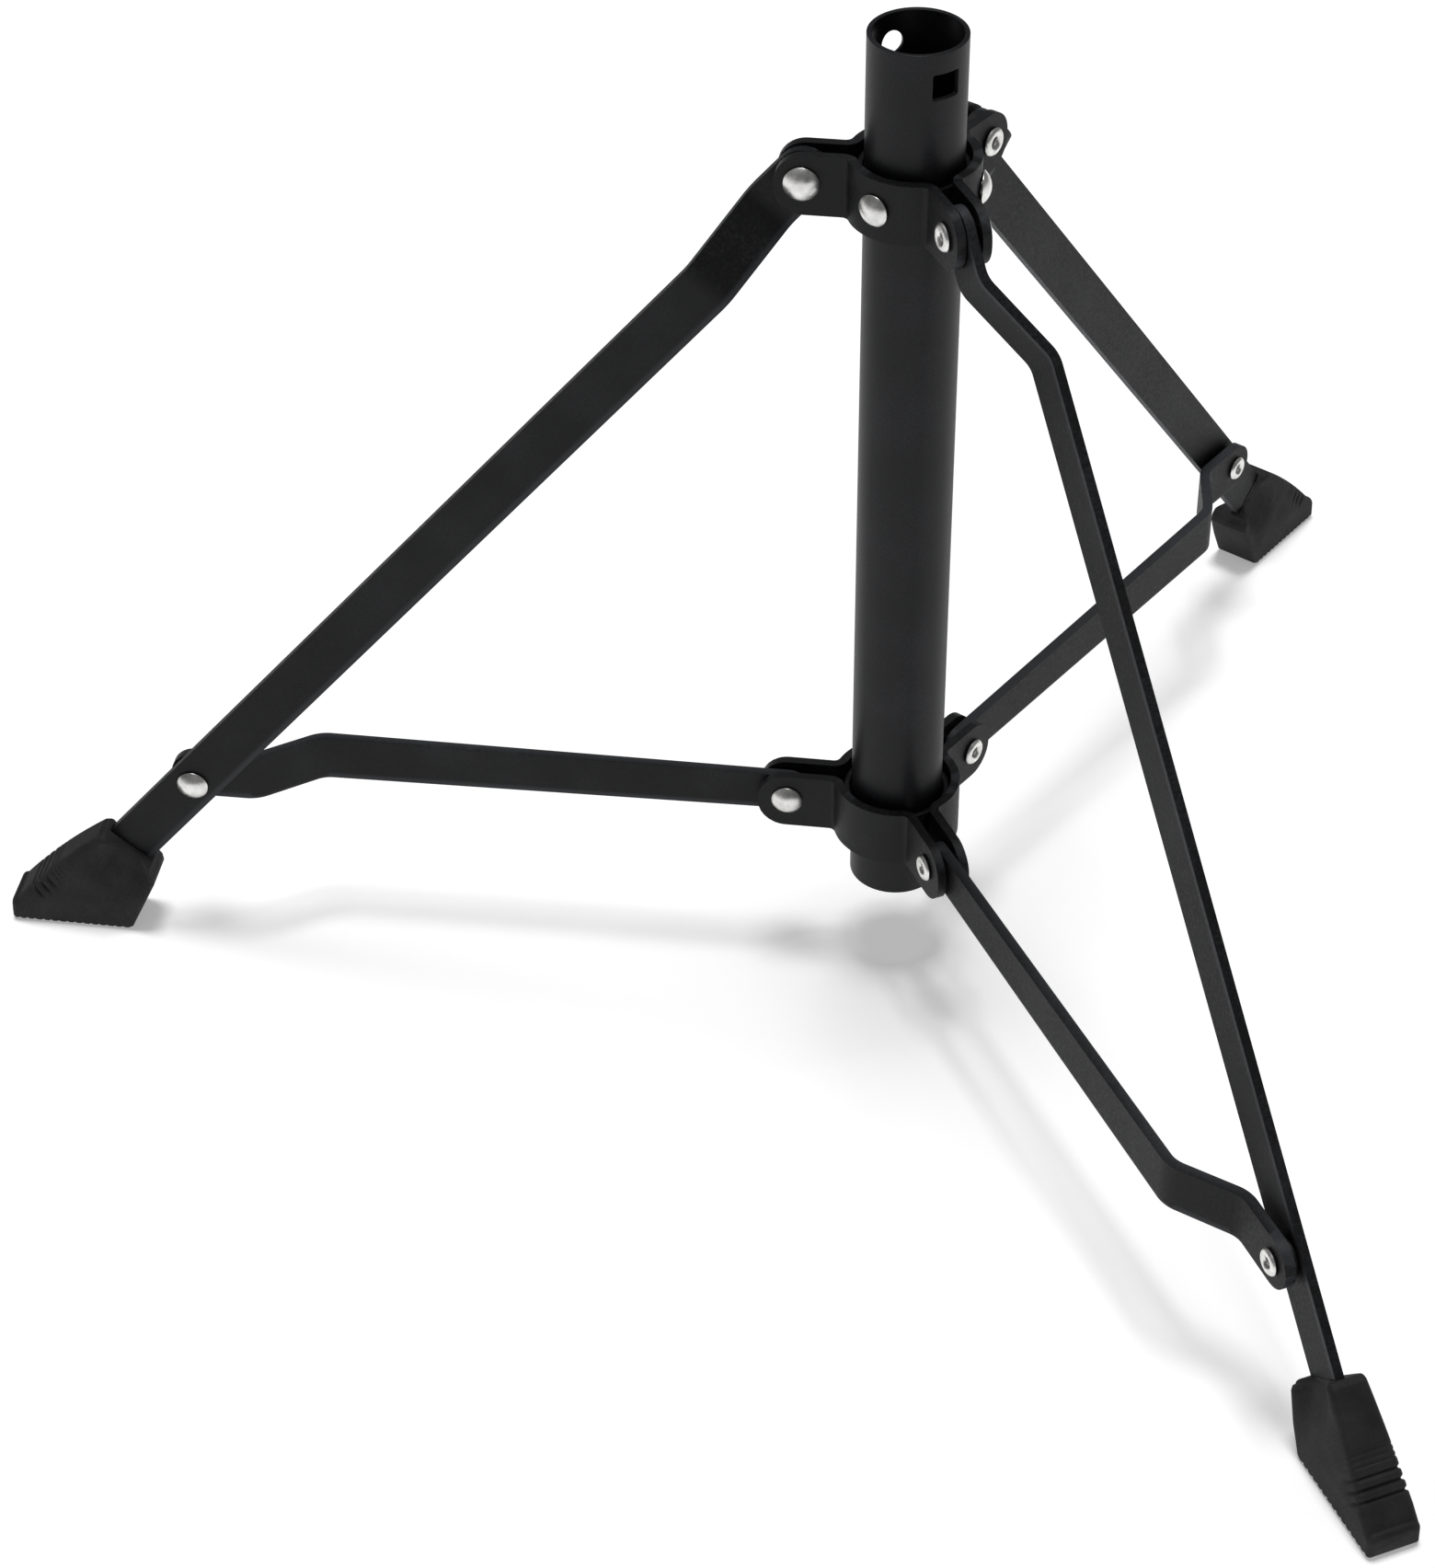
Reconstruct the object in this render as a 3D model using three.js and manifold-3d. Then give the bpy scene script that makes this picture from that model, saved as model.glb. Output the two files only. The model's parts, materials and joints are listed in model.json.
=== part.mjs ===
// Folding tripod base for a wind instrument stand.
// Units are millimetres, +Z is up and the floor is the plane the three soles rest on.
import * as THREE from 'three';
import { mergeVertices } from 'three/addons/utils/BufferGeometryUtils.js';
import Module from 'manifold-3d';

const wasm = await Module();
wasm.setup();

// ---- driving dimensions ------------------------------------------------------------------
const ARM_COUNT = 3;
const FIRST_ARM_DEG = 140; // the two lock holes of the tube then lie on the Y axis

const TUBE_R = 12.7; // one inch tube
const TUBE_WALL = 1.3;
const TUBE_BOTTOM = 26.3;
const TUBE_TOP = 292;

const PLATE_T = 2.5; // stamped plate thickness
const PLATE_BEND = 3.25; // mid-thickness bend radius between wrap and ear
const SLEEVE_GAP = 0.25;
const SLEEVE_SET = 3; // how far a sleeve stays inside the plates at both ends

// A bracket is a ring of three stamped plates around a sleeve. Its three clevises each hold
// a pivot; left and right are the ears' mid-planes, seen from the tube along the arm.
const COLLAR = {
  r: 27.8, z: 250.6, base: 241.6, height: 16.8, left: 4.0, right: 3.0, end: 7.1, sleeve: 14.3,
};
const HUB = {
  r: 30.6, z: 50.8, base: 41.6, height: 17.2, left: 3.45, right: 3.45, end: 8.3, sleeve: 15,
};
const KNEE = { r: 199.4, z: 50.3 }; // rivet between leg and brace

const LEG_W = 14.2;
const LEG_T = 2.5;
const LEG_SET = 13.3; // sideways set after the joggle
const LEG_SET_KNEE = 18.5;
const LEG_JOGGLE = [13, 35]; // start and end of the joggle along the leg

const BRACE_W = 11.6;
const BRACE_T = 3;
const BRACE_DRIFT = 1.5; // sideways lean before the joggle
const BRACE_JOGGLE = [135, 152];
const BEND_R = 9; // strap bends, at mid thickness

const PLAY = 0.3; // clearance between pieces that touch on the real stand
const KNEE_WASHER_T = 1.4;
const LEG_WASHER_T = 0.8;
const RIVET_R = 2.4;
const COLLAR_RIVET_R = 2;
const ROUND = 20; // facets of small turned pieces

const STEEL_COAT = { color: 0x25262a, roughness: 0.55, metalness: 0.35 };
const TUBE_COAT = { color: 0x2b2c30, roughness: 0.5, metalness: 0.35 };
const NICKEL = { color: 0xd4d2cc, roughness: 0.25, metalness: 1.0 };
const RUBBER = { color: 0x1d1d1f, roughness: 0.85, metalness: 0.0 };
const NYLON = { color: 0x1a1a1c, roughness: 0.6, metalness: 0.0 };

// ---- derived dimensions ------------------------------------------------------------------
const legVector = new THREE.Vector2(KNEE.r - COLLAR.r, KNEE.z - COLLAR.z);
const LEG_SPAN = legVector.length(); // pivot to knee
const LEG_TILT = Math.atan2(legVector.y, legVector.x); // below the horizontal, negative
const braceVector = new THREE.Vector2(KNEE.r - HUB.r, KNEE.z - HUB.z);
const BRACE_SPAN = braceVector.length();
const BRACE_TILT = Math.atan2(braceVector.y, braceVector.x);
const BRACE_SET_KNEE = LEG_SET_KNEE - LEG_T / 2 - 2 * PLAY - KNEE_WASHER_T - BRACE_T / 2;
const LEG_LEAN = (LEG_SET_KNEE - LEG_SET) / (LEG_SPAN - LEG_JOGGLE[1]);
const LEG_END = LEG_SPAN + 52; // end of the strap inside its foot
const FOOT_SET = LEG_SET + LEG_LEAN * (LEG_END - LEG_JOGGLE[1]) + 0.6; // middle of the foot
const RIVET_Z = COLLAR.base + COLLAR.height / 2; // rivets through collar, sleeve and tube
const MOUTH = LEG_SPAN + 31.5; // open end of the foot, along the leg

// ---- solids ------------------------------------------------------------------------------
function solid(geometry) {
  const bare = geometry.clone();
  bare.deleteAttribute('normal');
  bare.deleteAttribute('uv');
  const merged = mergeVertices(bare, 1e-4);
  return new wasm.Manifold(new wasm.Mesh({
    numProp: 3,
    vertProperties: Float32Array.from(merged.attributes.position.array),
    triVerts: Uint32Array.from(merged.index.array),
  }));
}

function geometryOf(manifold) {
  const mesh = manifold.getMesh();
  const geometry = new THREE.BufferGeometry();
  geometry.setAttribute('position', new THREE.BufferAttribute(mesh.vertProperties, 3));
  geometry.setIndex(new THREE.BufferAttribute(mesh.triVerts, 1));
  return geometry;
}

// A finished piece: faceted normals, so flat faces stay flat to the eye.
function piece(name, manifold, finish) {
  const geometry = geometryOf(manifold).toNonIndexed();
  geometry.computeVertexNormals();
  const mesh = new THREE.Mesh(geometry, new THREE.MeshStandardMaterial(finish));
  mesh.name = name;
  return mesh;
}

// Turned shape around Z; the profile is a closed list of [radius, height].
function turned(profile, segments = 40) {
  const closed = [...profile, profile[0]];
  const onAxis = profile[0][0] === 0 && profile[profile.length - 1][0] === 0;
  const points = (onAxis ? profile : closed).map(([r, z]) => new THREE.Vector2(r, z));
  const geometry = new THREE.LatheGeometry(points, segments);
  geometry.rotateX(Math.PI / 2);
  return solid(geometry);
}

function extruded(outline, depth) {
  const shape = new THREE.Shape(outline.map(([x, y]) => new THREE.Vector2(x, y)));
  return solid(new THREE.ExtrudeGeometry(shape, { depth, bevelEnabled: false }));
}

function placed(manifold, matrix) {
  return manifold.transform(matrix.elements);
}

function shifted(manifold, x, y, z) {
  return placed(manifold, new THREE.Matrix4().makeTranslation(x, y, z));
}

// Cylinder along X, Y or Z, centred on its own middle.
function rod(radius, length, axis = 'z', segments = ROUND) {
  const geometry = new THREE.CylinderGeometry(radius, radius, length, segments);
  if (axis === 'x') geometry.rotateZ(Math.PI / 2);
  if (axis === 'z') geometry.rotateX(Math.PI / 2);
  return solid(geometry);
}

function block(x, y, z) {
  return solid(new THREE.BoxGeometry(x, y, z));
}

// ---- outlines ----------------------------------------------------------------------------
function arc(cx, cy, radius, from, to, steps) {
  const points = [];
  for (let i = 0; i <= steps; i += 1) {
    const a = from + ((to - from) * i) / steps;
    points.push([cx + radius * Math.cos(a), cy + radius * Math.sin(a)]);
  }
  return points;
}

// Centre line through the corners, each inner corner rounded to the given radius.
function bentLine(corners, radius, steps = 4) {
  const line = [corners[0]];
  for (let i = 1; i < corners.length - 1; i += 1) {
    const a = new THREE.Vector2(...corners[i - 1]);
    const b = new THREE.Vector2(...corners[i]);
    const c = new THREE.Vector2(...corners[i + 1]);
    const inward = b.clone().sub(a).normalize();
    const outward = c.clone().sub(b).normalize();
    const turn = Math.atan2(inward.cross(outward), inward.dot(outward));
    const reach = radius * Math.tan(Math.abs(turn) / 2);
    const start = b.clone().addScaledVector(inward, -reach);
    const side = new THREE.Vector2(-inward.y, inward.x).multiplyScalar(Math.sign(turn));
    const centre = start.clone().addScaledVector(side, radius);
    const first = Math.atan2(start.y - centre.y, start.x - centre.x);
    line.push(...arc(centre.x, centre.y, radius, first, first + turn, steps));
  }
  line.push(corners[corners.length - 1]);
  return line;
}

// Outline of a sheet of the given thickness that follows an open centre line.
function thickened(line, thickness) {
  const left = [];
  const right = [];
  line.forEach((point, i) => {
    const before = new THREE.Vector2(...line[Math.max(i - 1, 0)]);
    const after = new THREE.Vector2(...line[Math.min(i + 1, line.length - 1)]);
    const here = new THREE.Vector2(...point);
    const into = here.clone().sub(before);
    const away = after.clone().sub(here);
    const along = into.clone().normalize().add(away.clone().normalize()).normalize();
    const straight = into.lengthSq() > 0 ? into.normalize() : away.normalize();
    const reach = thickness / 2 / Math.max(along.dot(straight), 0.5);
    left.push([here.x - along.y * reach, here.y + along.x * reach]);
    right.push([here.x + along.y * reach, here.y - along.x * reach]);
  });
  return [...left, ...right.reverse()];
}

// ---- tube and sleeves --------------------------------------------------------------------
function mainTube() {
  const inner = TUBE_R - TUBE_WALL;
  let tube = turned([
    [inner, TUBE_BOTTOM],
    [TUBE_R, TUBE_BOTTOM],
    [TUBE_R, TUBE_TOP],
    [inner, TUBE_TOP],
  ], 48);
  const holeZ = TUBE_TOP - 9;
  const squareHole = shifted(block(TUBE_R, 7.2, 6.8), TUBE_R, 0, holeZ);
  const roundHole = shifted(rod(3.4, TUBE_R, 'x', 24), -TUBE_R, 0, holeZ + 0.6);
  const turn = new THREE.Matrix4().makeRotationZ(-Math.PI / 2);
  tube = tube.subtract(placed(squareHole, turn)).subtract(placed(roundHole, turn));
  return tube.subtract(collarRivetHoles());
}

function collarRivetHoles() {
  let holes = null;
  for (let k = 0; k < ARM_COUNT; k += 1) {
    const drill = shifted(rod(COLLAR_RIVET_R + PLAY, 12, 'x', 16), 15, 0, RIVET_Z);
    const turn = new THREE.Matrix4().makeRotationZ(armAngle(k) + Math.PI / ARM_COUNT);
    const hole = placed(drill, turn);
    holes = holes ? holes.add(hole) : hole;
  }
  return holes;
}

// Sleeve between the tube and a bracket's plates, set back a little at both ends.
function sleeve(bracket, leadIn) {
  const inner = TUBE_R + SLEEVE_GAP;
  const low = bracket.base + SLEEVE_SET;
  const high = bracket.base + bracket.height - SLEEVE_SET;
  return turned([
    [inner, low + leadIn],
    [inner + leadIn, low],
    [bracket.sleeve, low],
    [bracket.sleeve, high],
    [inner + leadIn, high],
    [inner, high - leadIn],
  ]);
}

// ---- stamped plates ----------------------------------------------------------------------
function armAngle(k) {
  return THREE.MathUtils.degToRad(FIRST_ARM_DEG) + (k * 2 * Math.PI) / ARM_COUNT;
}

// Mid-thickness radius of a bracket's wrap.
function wrapRadius(bracket) {
  return bracket.sleeve + SLEEVE_GAP + PLATE_T / 2;
}

// Half of a plate seen from above, for the arm that lies along +X: the ear on its +Y side,
// the bend, then the wrap as far as the middle between two arms.
function halfPlateLine(bracket, ear) {
  const radius = wrapRadius(bracket);
  const bendY = ear + PLATE_BEND;
  const bendX = Math.sqrt((radius + PLATE_BEND) ** 2 - bendY ** 2);
  const meet = Math.atan2(bendY, bendX);
  const bend = arc(bendX, bendY, PLATE_BEND, -Math.PI / 2, meet - Math.PI, 4);
  const wrap = arc(0, 0, radius, meet, Math.PI / ARM_COUNT, 5);
  return [[bracket.r + bracket.end, ear], ...bend, ...wrap.slice(1)];
}

function mirroredAcross(line, angle) {
  const c = Math.cos(2 * angle);
  const s = Math.sin(2 * angle);
  return line.map(([x, y]) => [c * x + s * y, s * x - c * y]).reverse();
}

// Side outline of a bracket that rounds the ears of the arm lying along +X.
function earOutline(bracket) {
  const outer = bracket.r + bracket.end;
  const top = bracket.base + bracket.height;
  const corner = bracket.height / 2 - 0.7;
  return [
    [-40, bracket.base - 1],
    [outer - corner - 1, bracket.base - 1],
    ...arc(outer - corner, bracket.base + corner, corner, -Math.PI / 2, 0, 5),
    ...arc(outer - corner, top - corner, corner, 0, Math.PI / 2, 5),
    [outer - corner - 1, top + 1],
    [-40, top + 1],
  ];
}

// One plate between two arms: two ears joined by a third of a turn around the sleeve.
function stampedPlate(bracket) {
  const first = halfPlateLine(bracket, bracket.left);
  const second = mirroredAcross(halfPlateLine(bracket, bracket.right), Math.PI / ARM_COUNT);
  const outline = thickened([...first, ...second.slice(1)], PLATE_T);
  const plate = shifted(extruded(outline, bracket.height), 0, 0, bracket.base);
  const upright = new THREE.Matrix4().makeRotationX(Math.PI / 2);
  const keep = shifted(placed(extruded(earOutline(bracket), 120), upright), 0, 60, 0);
  const drill = shifted(rod(RIVET_R + PLAY, 20, 'y', 16), bracket.r, 0, bracket.z);
  const next = new THREE.Matrix4().makeRotationZ((2 * Math.PI) / ARM_COUNT);
  return plate
    .intersect(keep)
    .intersect(placed(keep, next))
    .subtract(drill)
    .subtract(placed(drill, next));
}

function collarPlate() {
  const drill = shifted(rod(COLLAR_RIVET_R + PLAY, 12, 'x', 16), 17, 0, RIVET_Z);
  const middle = new THREE.Matrix4().makeRotationZ(Math.PI / ARM_COUNT);
  return stampedPlate(COLLAR).subtract(placed(drill, middle));
}

// ---- rivets ------------------------------------------------------------------------------
function dome(radius, height, steps = 4) {
  const ball = (radius * radius + height * height) / (2 * height);
  const points = [];
  for (let i = 0; i <= steps; i += 1) {
    const x = radius * Math.cos((i / steps) * (Math.PI / 2));
    points.push([i === steps ? 0 : x, Math.sqrt(ball * ball - x * x) - (ball - height)]);
  }
  return points;
}

// Domed half of a rivet: head at the top, shank down to the given depth.
function domedProfile(headR, headH, shankR, depth) {
  return [[0, -depth], [shankR, -depth], [shankR, 0], [headR, 0], [headR, 0.35]]
    .concat(dome(headR, headH).map(([r, z]) => [r, z + 0.35]).slice(1));
}

// Rolled ring at the tail, facing down from z = 0, with the hollow of the tube in its middle.
function rolledRing(ringR, shankR, thickness) {
  return [
    [shankR, 0],
    [ringR - 0.4, 0],
    [ringR, -thickness * 0.45],
    [ringR - 0.7, -thickness * 0.9],
    [ringR - 1.5, -thickness],
    [1.5, -thickness * 0.75],
    [1.2, -thickness * 0.3],
    [1.2, 1.2],
    [0, 1.2],
  ];
}

// Whole semi-tubular rivet along Z: dome above the left ear, rolled ring under the right.
function pivotRivet(bracket, headR) {
  const left = bracket.left + PLATE_T / 2 + PLAY / 2;
  const right = bracket.right + PLATE_T / 2 + PLAY / 2;
  const head = domedProfile(headR, 2.1, RIVET_R, 0).slice(2).map(([r, z]) => [r, z + left]);
  const tail = rolledRing(3.9, RIVET_R, 1.5).map(([r, z]) => [r, z - right]).reverse();
  return turned([...tail, ...head], ROUND);
}

function collarRivet() {
  const seat = wrapRadius(COLLAR) + PLATE_T / 2 + PLAY / 2;
  return turned(domedProfile(4.3, 2.0, COLLAR_RIVET_R, seat - 10.6), ROUND);
}

function washer(radius, thickness) {
  return turned([
    [RIVET_R + PLAY, -thickness / 2],
    [radius, -thickness / 2],
    [radius, thickness / 2],
    [RIVET_R + PLAY, thickness / 2],
  ], ROUND);
}

// ---- straps ------------------------------------------------------------------------------
// Side outline of a strap: round end at the origin, then straight to the far end.
function strapSide(width, length, roundFarEnd) {
  const near = arc(0, 0, width / 2, Math.PI / 2, (3 * Math.PI) / 2, 8);
  const far = roundFarEnd
    ? arc(length, 0, width / 2 + 1.5, -Math.PI / 2, Math.PI / 2, 8)
    : [[length, -width / 2], [length, width / 2]];
  return [...near, ...far];
}

// Strap along +X whose thickness follows the bent line in the X-Y plane, width along Z.
function bentStrap(corners, thickness, side, width) {
  const sheet = extruded(thickened(bentLine(corners, BEND_R), thickness), width + 6);
  const flat = extruded(side, 80);
  const upright = new THREE.Matrix4().makeRotationX(Math.PI / 2);
  return shifted(sheet, 0, 0, -width / 2 - 3).intersect(shifted(placed(flat, upright), 0, 40, 0));
}

function leg() {
  const end = LEG_SET + LEG_LEAN * (LEG_END - LEG_JOGGLE[1]);
  const corners = [[-LEG_W, 0], [LEG_JOGGLE[0], 0], [LEG_JOGGLE[1], LEG_SET], [LEG_END, end]];
  const strap = bentStrap(corners, LEG_T, strapSide(LEG_W, LEG_END, false), LEG_W);
  const pivotHole = rod(RIVET_R + PLAY, 20, 'y', 16);
  const kneeHole = shifted(rod(RIVET_R + PLAY, 20, 'y', 16), LEG_SPAN, LEG_SET_KNEE, 0);
  return strap.subtract(pivotHole).subtract(kneeHole);
}

function brace() {
  const lean = BRACE_DRIFT / BRACE_JOGGLE[0];
  const corners = [
    [-BRACE_W, -lean * BRACE_W],
    [BRACE_JOGGLE[0], BRACE_DRIFT],
    [BRACE_JOGGLE[1], BRACE_SET_KNEE],
    [BRACE_SPAN + 12, BRACE_SET_KNEE],
  ];
  const strap = bentStrap(corners, BRACE_T, strapSide(BRACE_W, BRACE_SPAN, true), BRACE_W);
  const pivotHole = rod(RIVET_R + PLAY, 20, 'y', 16);
  const kneeHole = shifted(rod(RIVET_R + PLAY, 12, 'y', 16), BRACE_SPAN, BRACE_SET_KNEE, 0);
  return strap.subtract(pivotHole).subtract(kneeHole);
}

// ---- knee rivet, in two halves that part where the washer meets the brace -------------------
function kneeHead() {
  const depth = PLAY / 2 + LEG_T + PLAY + KNEE_WASHER_T;
  return turned(domedProfile(4.5, 2.1, RIVET_R, depth), ROUND);
}

function kneeTail() {
  const shank = PLAY / 2 + BRACE_T;
  return turned([[0, shank], [RIVET_R, shank], ...rolledRing(3.8, RIVET_R, 1.5)].reverse(), ROUND);
}

// ---- rubber foot -------------------------------------------------------------------------
// Side outline in the plane of the arm, radius from the tube's axis against height.
function footSide() {
  const along = new THREE.Vector2(Math.cos(LEG_TILT), Math.sin(LEG_TILT));
  const across = new THREE.Vector2(-along.y, along.x);
  const mouth = new THREE.Vector2(COLLAR.r, COLLAR.z).addScaledVector(along, MOUTH);
  const upper = mouth.clone().addScaledVector(across, LEG_W / 2 + 2.2);
  const lower = mouth.clone().addScaledVector(across, -LEG_W / 2 - 2);
  const nose = [253.8, 8.8];
  const grooves = [];
  const rise = Math.atan2(upper.y - nose[1], nose[0] - upper.x);
  const at = (back, deep) => [
    nose[0] - Math.cos(rise) * back - Math.sin(rise) * deep,
    nose[1] + Math.sin(rise) * back - Math.cos(rise) * deep,
  ];
  for (const back of [5.2, 8.0, 10.9]) {
    grooves.push(at(back - 0.7, 0), at(back - 0.3, 0.8), at(back + 0.3, 0.8), at(back + 0.7, 0));
  }
  return [
    [221, 0],
    [255.2, 0],
    [256.8, 1.2],
    [257.0, 2.6],
    [256.4, 4.8],
    nose,
    ...grooves,
    [upper.x + 1.6, upper.y - 0.6],
    [upper.x, upper.y],
    [lower.x, lower.y],
    [lower.x - 0.4, lower.y - 4],
    [219.8, 1.4],
  ];
}

function foot() {
  const width = 14.8;
  const upright = new THREE.Matrix4().makeRotationX(Math.PI / 2);
  const side = shifted(placed(extruded(footSide(), width), upright), 0, width / 2, 0);
  const front = extruded([
    [-width / 2, -1],
    [width / 2, -1],
    [width / 2, 9],
    [5, 36],
    [-5, 36],
    [-width / 2, 9],
  ], 100);
  const facing = new THREE.Matrix4().makeBasis(
    new THREE.Vector3(0, 1, 0),
    new THREE.Vector3(0, 0, 1),
    new THREE.Vector3(1, 0, 0),
  );
  const body = side.intersect(shifted(placed(front, facing), 180, 0, 0));
  // the pocket follows the strap, which leans sideways a little
  const lean = new THREE.Matrix4().makeRotationZ(Math.atan(LEG_LEAN));
  const reach = LEG_END + PLAY;
  let pocket = block(60, LEG_T + 2 * PLAY, LEG_W + 2 * PLAY);
  pocket = shifted(placed(shifted(pocket, -30, 0, 0), lean), reach, -0.6, 0);
  const tilt = new THREE.Matrix4().makeRotationY(-LEG_TILT);
  tilt.setPosition(COLLAR.r, 0, COLLAR.z);
  return body.subtract(placed(pocket, tilt));
}

// ---- assembly ----------------------------------------------------------------------------
function along(mesh, x, y, z, direction) {
  mesh.position.set(x, y, z);
  mesh.quaternion.setFromUnitVectors(new THREE.Vector3(0, 0, 1), direction);
  return mesh;
}

function armAssembly(k) {
  const n = k + 1;
  const side = new THREE.Vector3(0, 1, 0);
  const arm = new THREE.Group();
  arm.name = `arm_${n}`;
  arm.rotation.z = armAngle(k);

  const legMesh = piece(`leg_${n}`, leg(), STEEL_COAT);
  legMesh.position.set(COLLAR.r, 0, COLLAR.z);
  legMesh.rotation.y = -LEG_TILT;
  const braceMesh = piece(`brace_${n}`, brace(), STEEL_COAT);
  braceMesh.position.set(HUB.r, 0, HUB.z);
  braceMesh.rotation.y = -BRACE_TILT;
  const footMesh = piece(`foot_${n}`, foot(), RUBBER);
  footMesh.position.y = FOOT_SET;

  const headY = LEG_SET_KNEE + LEG_T / 2 + PLAY / 2;
  const tailY = BRACE_SET_KNEE - BRACE_T / 2 - PLAY / 2;
  const legWasherY = (LEG_T / 2 + COLLAR.left - PLATE_T / 2) / 2;
  const kneeWasherY = LEG_SET_KNEE - LEG_T / 2 - PLAY - KNEE_WASHER_T / 2;
  arm.add(
    legMesh,
    braceMesh,
    footMesh,
    along(piece(`leg_rivet_${n}`, pivotRivet(COLLAR, 4.7), NICKEL), COLLAR.r, 0, COLLAR.z, side),
    along(piece(`leg_washer_${n}`, washer(5.2, LEG_WASHER_T), NYLON),
      COLLAR.r, legWasherY, COLLAR.z, side),
    along(piece(`hub_rivet_${n}`, pivotRivet(HUB, 4.4), NICKEL), HUB.r, 0, HUB.z, side),
    along(piece(`knee_head_${n}`, kneeHead(), NICKEL), KNEE.r, headY, KNEE.z, side),
    along(piece(`knee_tail_${n}`, kneeTail(), NICKEL), KNEE.r, tailY, KNEE.z, side),
    along(piece(`knee_washer_${n}`, washer(5.4, KNEE_WASHER_T), NYLON),
      KNEE.r, kneeWasherY, KNEE.z, side),
    piece(`collar_plate_${n}`, collarPlate(), STEEL_COAT),
    piece(`hub_plate_${n}`, stampedPlate(HUB), STEEL_COAT),
  );

  const facing = Math.PI / ARM_COUNT;
  const outward = new THREE.Vector3(Math.cos(facing), Math.sin(facing), 0);
  const seat = wrapRadius(COLLAR) + PLATE_T / 2 + PLAY / 2;
  arm.add(along(piece(`collar_rivet_${n}`, collarRivet(), NICKEL),
    seat * outward.x, seat * outward.y, RIVET_Z, outward));
  return arm;
}

function tripod() {
  const stand = new THREE.Group();
  stand.name = 'tripod_base';
  stand.add(
    piece('main_tube', mainTube(), TUBE_COAT),
    piece('collar_sleeve', sleeve(COLLAR, 0.2).subtract(collarRivetHoles()), STEEL_COAT),
    piece('hub_bushing', sleeve(HUB, 0.8), NYLON),
  );
  for (let k = 0; k < ARM_COUNT; k += 1) stand.add(armAssembly(k));
  return stand;
}

const root = new THREE.Group();
root.name = 'root';
const stand = tripod();
root.add(stand);
root.updateMatrixWorld(true);
const bounds = new THREE.Box3().setFromObject(stand, true);
const centre = bounds.getCenter(new THREE.Vector3());
stand.position.set(-centre.x, -centre.y, -bounds.min.z);
root.updateMatrixWorld(true);

export default root;
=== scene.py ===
# %% [markdown]
# # A folding tripod base, piece by piece
# A wind instrument stand rests on a small folding tripod: an open steel tube, a collar
# riveted near its top, a hub that slides on it, and three flat legs with flat braces.
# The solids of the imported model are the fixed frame. Every piece made here sits in the
# place of one of them, with finer edges, real holes and a proper finish.

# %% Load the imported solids
import json
import math

import bmesh
import bpy
from mathutils import Matrix, Vector


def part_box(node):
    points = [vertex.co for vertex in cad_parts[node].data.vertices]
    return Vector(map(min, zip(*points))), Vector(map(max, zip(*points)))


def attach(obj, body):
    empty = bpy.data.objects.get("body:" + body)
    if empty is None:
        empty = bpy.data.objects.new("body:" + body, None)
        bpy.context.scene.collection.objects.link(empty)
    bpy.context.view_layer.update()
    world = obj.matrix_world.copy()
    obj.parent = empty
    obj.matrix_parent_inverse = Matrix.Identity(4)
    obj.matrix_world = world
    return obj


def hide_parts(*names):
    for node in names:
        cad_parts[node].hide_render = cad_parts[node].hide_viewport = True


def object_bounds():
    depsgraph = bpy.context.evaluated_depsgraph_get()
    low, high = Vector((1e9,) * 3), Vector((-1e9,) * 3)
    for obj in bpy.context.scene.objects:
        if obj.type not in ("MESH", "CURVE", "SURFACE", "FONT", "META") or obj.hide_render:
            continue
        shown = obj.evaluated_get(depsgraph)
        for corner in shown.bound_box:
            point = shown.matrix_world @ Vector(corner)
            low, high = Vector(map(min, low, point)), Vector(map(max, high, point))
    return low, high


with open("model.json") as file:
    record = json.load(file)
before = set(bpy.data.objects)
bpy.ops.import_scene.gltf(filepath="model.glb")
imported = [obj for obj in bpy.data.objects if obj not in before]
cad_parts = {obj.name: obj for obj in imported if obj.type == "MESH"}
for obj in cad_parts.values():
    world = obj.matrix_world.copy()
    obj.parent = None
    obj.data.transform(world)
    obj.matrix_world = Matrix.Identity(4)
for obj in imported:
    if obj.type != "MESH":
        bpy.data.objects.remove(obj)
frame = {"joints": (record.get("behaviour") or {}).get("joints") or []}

cad_low, cad_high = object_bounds()
JOINTS = {joint["name"]: joint for joint in frame["joints"]}
print("solid box", [round(v, 4) for v in (*cad_low, *cad_high)])

# %% [markdown]
# ## One drawing for all three arms
# The three arms are equal, so each piece is drawn once, in millimetres, for an arm that
# points along +X with the tube's axis at the origin. A matrix then carries the drawing to
# its arm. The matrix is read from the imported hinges, so it can never disagree with them.

# %% Where each arm points
MM = 0.001
tube_low, tube_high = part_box("main_tube")
TUBE_X = (tube_low.x + tube_high.x) / 2
TUBE_Y = (tube_low.y + tube_high.y) / 2
STAND = Matrix.Translation((TUBE_X, TUBE_Y, 0)) @ Matrix.Scale(MM, 4)


def arm_place(n):
    side = Vector(JOINTS[f"leg_hinge_{n}"]["axis"])
    return STAND @ Matrix.Rotation(math.atan2(-side.x, side.y), 4, "Z")


print("tube axis", round(TUBE_X, 5), round(TUBE_Y, 5))

# %% [markdown]
# ## Sizes of the stock
# A maker would note these on the drawing: tube diameter and wall, plate and strap
# thickness, where each rivet sits. They are in millimetres.

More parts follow.
